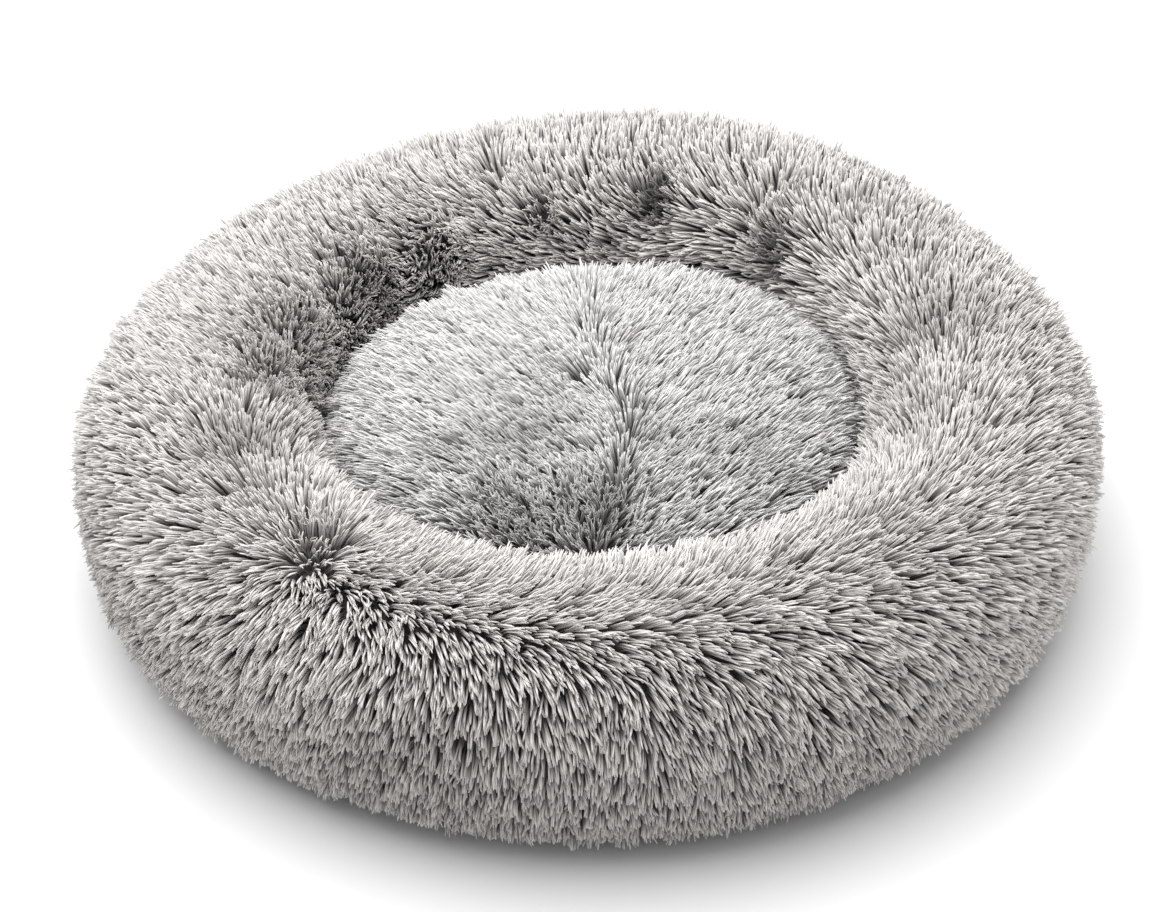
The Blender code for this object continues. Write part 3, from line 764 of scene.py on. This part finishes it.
def skin_mesh(name, surface, inset, first, last, around, across, hem, material):
    """A closed skin. hem is the radius beyond which it stays above a height, over the zip's upper tape."""
    azimuth = np.arange(around) / around * 2.0 * math.pi
    section = np.radians(np.linspace(first, last, across))
    a, s = np.meshgrid(azimuth, section, indexing="ij")
    verts = surface(a.ravel(), s.ravel(), inset)[0]
    far = np.hypot(verts[:, 0], verts[:, 1])
    over = (far > hem[0]) & (verts[:, 2] < hem[1])
    verts[over, 2] = hem[1]
    faces = []
    for i in range(around):
        for j in range(across - 1):
            k = (i + 1) % around
            faces.append((i * across + j, k * across + j, k * across + j + 1, i * across + j + 1))
    obj = mesh_object(name, verts, faces, material)
    set_right(obj, MERGED, close=last - first < 360.0)
    return obj


def in_sectors(name, locks, azimuth, pieces, rng, body, nodes, material, over_zip):
    """Makes the pile in sectors, so that no mesh is too large to share."""
    sector = ((azimuth + math.pi) / (2.0 * math.pi) * pieces).astype(int) % pieces
    for k in range(pieces):
        mine = {key: values[sector == k] for key, values in locks.items()}
        obj = strands_mesh(name + "_%02d" % k, mine, rng, material, over_zip)
        stands_for(obj, body, "pile", *nodes)


def within(hem):
    """The hem of the bag and the stuffing inside a skin."""
    return hem[0] - 0.0035, hem[1] + 0.0035


def ring():
    """The ring's skin, its bag and stuffing, and its pile."""
    hem = (RING_HEM_REACH, RING_HEM)
    skin = skin_mesh("ring_backing", ring_point, RING_INSET, -180.0, 180.0, 180, 91, hem, SKIN_CLOTH)
    stands_for(skin, "bed", "pile", *COVERS)
    for name, inset, material, slot, node in (
            ("stuffing_bag_of_ring", RING_INSET + 0.0035, LINER_CLOTH, "liner_cloth", "bolster_liner"),
            ("stuffing_of_ring", RING_INSET + 0.0050, FIBRE, "fibre", "bolster_fill")):
        inner = skin_mesh(name, ring_point, inset, -180.0, 180.0, 120, 61, within(hem), material)
        stands_for(inner, "bed", slot, node)
    tree = stuffed(skin)
    rng = np.random.default_rng(11)
    azimuth, section = scatter(ring_point, RING_INSET, PILE_FROM, PILE_TO, rng, LOCK_SPACING)
    tufts = tuftedness(azimuth, section)
    smooth = smooth_band(azimuth, section)
    degrees = np.degrees(section)
    foot = clamped((40.0 - degrees) / 60.0)
    upper = clamped((degrees - 35.0) / 40.0)
    locks = grow(ring_point, RING_INSET, azimuth, section, comb_ring, rng, tufts,
                 0.66 - 0.20 * upper - 0.25 * smooth, tree)
    locks["length"] *= 1.0 - 0.24 * foot
    # painted shade low on the outer wall; on the upper pile painted light at the roots and a darker tone,
    # against the light from above
    locks["shade"] += 0.18 * foot - 0.18 * upper * (1.0 - tufts) + roots_and_painted_shade(azimuth, section)
    locks["tone"] -= 0.22 * upper
    down, along = from_feature(np.degrees(azimuth), np.degrees(section), FRONT_WHORL)
    locks["curl"] += 0.0014 * np.exp(-(np.hypot(down, along) / CURL_REACH) ** 2)
    # painted highlight in part: the smooth band, which faces up towards the light, is given a paler tone
    locks["tone"] += RING_TONE * smooth
    over_zip = (*OVER_RING_ZIP, RING_HEM_REACH)
    in_sectors("ring_pile", locks, azimuth, RING_SECTORS, rng, "bed", COVERS, PILE, over_zip)

    # the short pile low on the wall of the well, which the cushion hides while it is in
    azimuth, section = scatter(ring_point, RING_INSET, PILE_TO, WELL_PILE_TO, rng, WELL_SPACING)
    locks = grow(ring_point, RING_INSET, azimuth, section, comb_ring, rng, np.zeros_like(azimuth),
                 np.full_like(azimuth, 0.6))
    locks["length"] *= 0.62
    in_sectors("well_pile", locks, azimuth, WELL_SECTORS, rng, "bed", COVERS, PILE, over_zip)


def cushion():
    """The cushion's skin, its bag and stuffing, and its pile."""
    hem = (CUSHION_HEM_REACH, CUSHION_HEM)
    skin = skin_mesh("cushion_backing", cushion_point, CUSHION_INSET, -89.0, 90.0, 120, 50, hem, SKIN_CLOTH)
    stands_for(skin, "cushion", "pile", "cushion_cover")
    for name, inset, material, slot, node in (
            ("stuffing_bag_of_cushion", CUSHION_INSET + 0.0030, LINER_CLOTH, "liner_cloth", "cushion_liner"),
            ("stuffing_of_cushion", CUSHION_INSET + 0.0045, FIBRE, "fibre", "cushion_fill")):
        inner = skin_mesh(name, cushion_point, inset, -89.0, 90.0, 96, 40, within(hem), material)
        stands_for(inner, "cushion", slot, node)
    tree = stuffed(skin)
    rng = np.random.default_rng(23)
    azimuth, section = scatter(cushion_point, CUSHION_INSET, -34.0, 89.9, rng, CUSHION_SPACING)
    tufts = cushion_tuftedness(azimuth, section)
    locks = grow(cushion_point, CUSHION_INSET, azimuth, section, comb_cushion, rng, tufts,
                 np.full_like(azimuth, 0.22), tree)
    rim = clamped((70.0 - np.degrees(section)) / 20.0)
    locks["length"] *= 0.86 + 0.12 * rim
    locks["thick"] *= 0.86
    locks["tone"] += CUSHION_TONE * (1.0 - tufts)
    # painted shade and painted light by place on the cushion, partly roots showing; its tufts a little paler
    locks["shade"] += cushion_roots_and_painted_shade(azimuth, section) - 0.08 * tufts
    in_sectors("cushion_pile", locks, azimuth, CUSHION_SECTORS, rng, "cushion", ["cushion_cover"],
               CUSHION_PILE, (*OVER_CUSHION_ZIP, 0.0))


ring()
cushion()


# ---- base, gussets and zips ----
def arc_of(node):
    """Where round the axis a CAD node starts, and how far it runs, in degrees counter-clockwise."""
    co = rows_of(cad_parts[node].data.vertices, "co")
    turn = np.unique(np.round(np.degrees(np.arctan2(co[:, 1], co[:, 0])), 4))
    gaps = np.diff(np.concatenate([turn, [turn[0] + 360.0]]))
    widest = int(np.argmax(gaps))
    return turn[(widest + 1) % len(turn)], 360.0 - gaps[widest]


def extent(node):
    """Where a CAD node lies: its heights from and to, its radii from and to, its start and its sweep."""
    return (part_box(node)[0].z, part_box(node)[1].z, *radii(node), *arc_of(node))


def band(name, profile, start, sweep, thickness, material, ripple=0.0):
    """Cloth of even thickness swept round the axis. profile is its middle line, as (radius, height)."""
    line = np.array(profile, float)
    way = np.gradient(line, axis=0)
    way /= np.linalg.norm(way, axis=1, keepdims=True)
    side = np.stack([way[:, 1], -way[:, 0]], -1) * thickness / 2.0
    loop = np.concatenate([line + side, (line - side)[::-1]])
    steps = max(8, int(abs(sweep) * 1.2))
    verts = []
    for k in range(steps + 1):
        turn = math.radians(start + sweep * k / steps)
        off = ripple * math.sin(61.0 * turn) * math.sin(17.0 * turn + 1.0)
        for r, z in loop:
            verts.append(((r + off) * math.cos(turn), (r + off) * math.sin(turn), z))
    m = len(loop)
    faces = [(k * m + i, k * m + (i + 1) % m, (k + 1) * m + (i + 1) % m, (k + 1) * m + i)
             for k in range(steps) for i in range(m)]
    faces += [tuple(range(m)), tuple(steps * m + i for i in range(m))[::-1]]
    obj = mesh_object(name, verts, faces, material)
    set_right(obj)
    obj.data.set_sharp_from_angle(angle=math.radians(45.0))
    return obj


def disc(name, node, material, ripple):
    """A round cloth where that CAD node lies, a little uneven on top."""
    radius = radii(node)[1]
    low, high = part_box(node)[0].z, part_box(node)[1].z
    around, across = 144, 24
    verts, faces = [], []
    for top in (False, True):
        for j in range(across + 1):
            r = radius * j / across
            for k in range(around):
                turn = 2.0 * math.pi * k / around
                x, y = r * math.cos(turn), r * math.sin(turn)
                wave = math.sin(47.0 * x + 9.0 * y + 1.3) * math.sin(38.0 * y - 12.0 * x)
                verts.append((x, y, high - ripple * (0.5 + 0.25 * wave) if top else low))
    layer = (across + 1) * around
    for top in (False, True):
        for j in range(across):
            for k in range(around):
                a, b = j * around + k, j * around + (k + 1) % around
                quad = (a, b, b + around, a + around)
                faces.append(tuple(i + layer for i in quad) if top else quad)
    edge = across * around
    for k in range(around):
        a, b = edge + k, edge + (k + 1) % around
        faces.append((a, b, b + layer, a + layer))
    obj = mesh_object(name, verts, faces, material)
    set_right(obj, MERGED)
    obj.data.set_sharp_from_angle(angle=math.radians(50.0))
    return obj


def laid(name, node, material, ripple, body, slot):
    """A round sheet, cut to its CAD node's radius and laid flat."""
    radius = radii(node)[1]
    obj = disc(name, node, material, ripple)
    stands_for(obj, body, slot, node)


def strip(obj, node, body, slot):
    """A long narrow sheet, sewn on round the axis."""
    stands_for(obj, body, slot, node)
    length = math.radians(arc_of(node)[1]) * radii(node)[1]


CLOTH = 0.0005  # thickness of the sewn cloths
FROM_SIDE, FROM_FACE = 0.0004, 0.0003  # the cloth's middle line from its CAD node's side and face


def turned_edge(middle, height, reach, leg):
    """Middle line of a cloth that stands at radius middle to that height, with its edge turned over
    level at height leg as far as radius reach."""
    bend = 0.0007
    side, way = (1.0 if reach > middle else -1.0), (1.0 if height > leg else -1.0)
    return [(reach, leg), ((reach + middle) / 2.0, leg), (middle + side * bend, leg),
            (middle + side * bend * 0.3, leg + way * bend * 0.3), (middle, leg + way * bend),
            (middle, height)]


def gusset(name, node, tape_node, body):
    """The cloth strip that closes the side where there is no zip, its edges turned in and out."""
    low, high, inner, outer, start, sweep = extent(node)
    middle, centre = radii(tape_node)[1] - FROM_SIDE, (low + high) / 2.0
    foot = turned_edge(middle, centre, inner, low + FROM_FACE)
    head = turned_edge(middle, centre, outer, high - FROM_FACE)
    strip(band(name, foot + head[-2::-1], start, sweep, CLOTH, EDGE_CLOTH, 0.00008), node, body,
          "base_cloth")


def tape(name, node, body):
    """A zip's tape: one edge turned over flat where it is sewn, and the other standing at the coil."""
    low, high, inner, outer, start, sweep = extent(node)
    if "lower" in node:
        middle, reach, leg, edge = outer - FROM_SIDE, inner, low + FROM_FACE, high
    else:
        middle, reach, leg, edge = inner + FROM_SIDE, outer, high - FROM_FACE, low
    strip(band(name, turned_edge(middle, edge, reach, leg), start, sweep, CLOTH, TAPE_CLOTH), node, body,
          "zip_tape")


def coil(name, node, body, middle, below, phase):
    """A zip's coil of nylon wire: loops that reach to the coil on the other tape."""
    low, high, inner, outer, start, sweep = extent(node)
    wire, pitch, segments = 0.00026, 0.0015, 8
    meet = 0.0003  # how far past the middle a loop reaches
    low, high = (low, middle + meet) if below else (middle - meet, high)
    radius = (inner + outer) / 2.0
    turns = int(math.radians(sweep) * radius / pitch)
    count = turns * segments + 1
    t = np.arange(count) / (count - 1)
    turn = np.radians(start + sweep * t)
    spin = 2.0 * math.pi * turns * t + phase
    r = radius + ((outer - inner) / 2.0 - wire) * np.cos(spin)
    z = (low + high) / 2.0 + ((high - low) / 2.0 - wire) * np.sin(spin)
    line = np.stack([r * np.cos(turn), r * np.sin(turn), z], -1)
    way = unit(np.gradient(line, axis=0))
    out = np.stack([np.cos(turn), np.sin(turn), np.zeros_like(turn)], -1)
    first = unit(np.cross(way, out))
    second = np.cross(way, first)
    corners = [line + (first * math.cos(c) + second * math.sin(c)) * wire
               for c in (0.0, math.pi / 2.0, math.pi, 1.5 * math.pi)]
    verts = np.stack(corners, 1).reshape(-1, 3)
    faces = [(k * 4 + c, k * 4 + (c + 1) % 4, k * 4 + 4 + (c + 1) % 4, k * 4 + 4 + c)
             for k in range(count - 1) for c in range(4)]
    last = (count - 1) * 4
    faces += [(3, 2, 1, 0), (last, last + 1, last + 2, last + 3)]
    obj = mesh_object(name, verts, faces, COIL_NYLON)
    stands_for(obj, body, "zip_coil", node)


def zip_pieces(prefix, body):
    """A zip's tapes and coils, and the metal of the pieces that show as the CAD has them."""
    lower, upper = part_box(prefix + "_lower_coil"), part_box(prefix + "_upper_coil")
    middle = (lower[0].z + upper[1].z) / 2.0
    tape(prefix + "_tape_low", prefix + "_lower_tape", body)
    tape(prefix + "_tape_high", prefix + "_upper_tape", body)
    coil(prefix + "_teeth_low", prefix + "_lower_coil", body, middle, True, 0.0)
    coil(prefix + "_teeth_high", prefix + "_upper_coil", body, middle, False, math.pi)
    for piece in ("bottom_stop", "top_stop", "slider", "pull"):
        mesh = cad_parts[prefix + "_" + piece].data
        mesh.materials.clear()
        mesh.materials.append(ZIP_METAL)


def label():
    """The blank ribbon label sewn to the gusset."""
    node = "care_label"
    low, high, inner, outer, start, sweep = extent(node)
    middle = (inner + outer) / 2.0
    profile = [(middle, low + (high - low) * t) for t in (0.0, 0.3, 0.7, 1.0)]
    obj = band("blank_label", profile, start, sweep, outer - inner, RIBBON)
    stands_for(obj, "bed", "label", node)


def base():
    """Everything under the pile: the flat cloths, the strips at the sides, the label and the zips."""
    laid("underside_cloth", "base_panel", BASE_CLOTH, 0.0002, "bed", "base_cloth")
    laid("base_wadding_layer", "base_wadding", FIBRE, 0.0004, "bed", "fibre")
    laid("well_floor_cloth", "well_floor", LINER_CLOTH, 0.0003, "bed", "liner_cloth")
    laid("cushion_underside_cloth", "cushion_base", BASE_CLOTH, 0.0002, "cushion", "base_cloth")
    gusset("ring_side_strip", "side_gusset", "ring_zip_lower_tape", "bed")
    gusset("cushion_side_strip", "cushion_gusset", "cushion_zip_lower_tape", "cushion")
    label()
    zip_pieces("ring_zip", "bed")
    zip_pieces("cushion_zip", "cushion")


base()


# ---- floor, light and camera ----
def floor():
    """The pale floor of the photo's studio, which is no part of the bed."""
    mat = cloth_material("pale_floor", (0.73, 0.73, 0.73), 0.9, 3.0, 0.0, 0.0)
    corners = [(6.0 * x, 6.0 * y, 0.0) for x, y in ((-1, -1), (1, -1), (1, 1), (-1, 1))]
    obj = mesh_object("floor", corners, [(0, 1, 2, 3)], mat, smooth=False)


def studio():
    """Even white surroundings, and one broad light above."""
    world = bpy.data.worlds.new("studio")
    world.use_nodes = True
    background = world.node_tree.nodes["Background"]
    background.inputs["Color"].default_value = (1.0, 1.0, 1.0, 1.0)
    background.inputs["Strength"].default_value = 0.72
    bpy.context.scene.world = world
    light = bpy.data.lights.new("overhead", "AREA")
    light.shape = "DISK"
    light.size = 3.0
    light.energy = 74.0
    obj = bpy.data.objects.new("overhead", light)
    obj.location = (-0.40, 0.40, 1.7)
    bpy.context.scene.collection.objects.link(obj)
    bpy.context.scene.view_settings.view_transform = "Standard"


def camera():
    data = bpy.data.cameras.new("camera")
    data.lens = 88.5
    data.sensor_width = 36.0
    obj = bpy.data.objects.new("camera", data)
    obj.location = (0.0, -1.354, 1.108)
    aim = Vector((-0.0012, 0.0, 0.0535))
    obj.rotation_euler = (aim - obj.location).to_track_quat("-Z", "Y").to_euler()
    bpy.context.scene.collection.objects.link(obj)
    bpy.context.scene.camera = obj


floor()
studio()
camera()
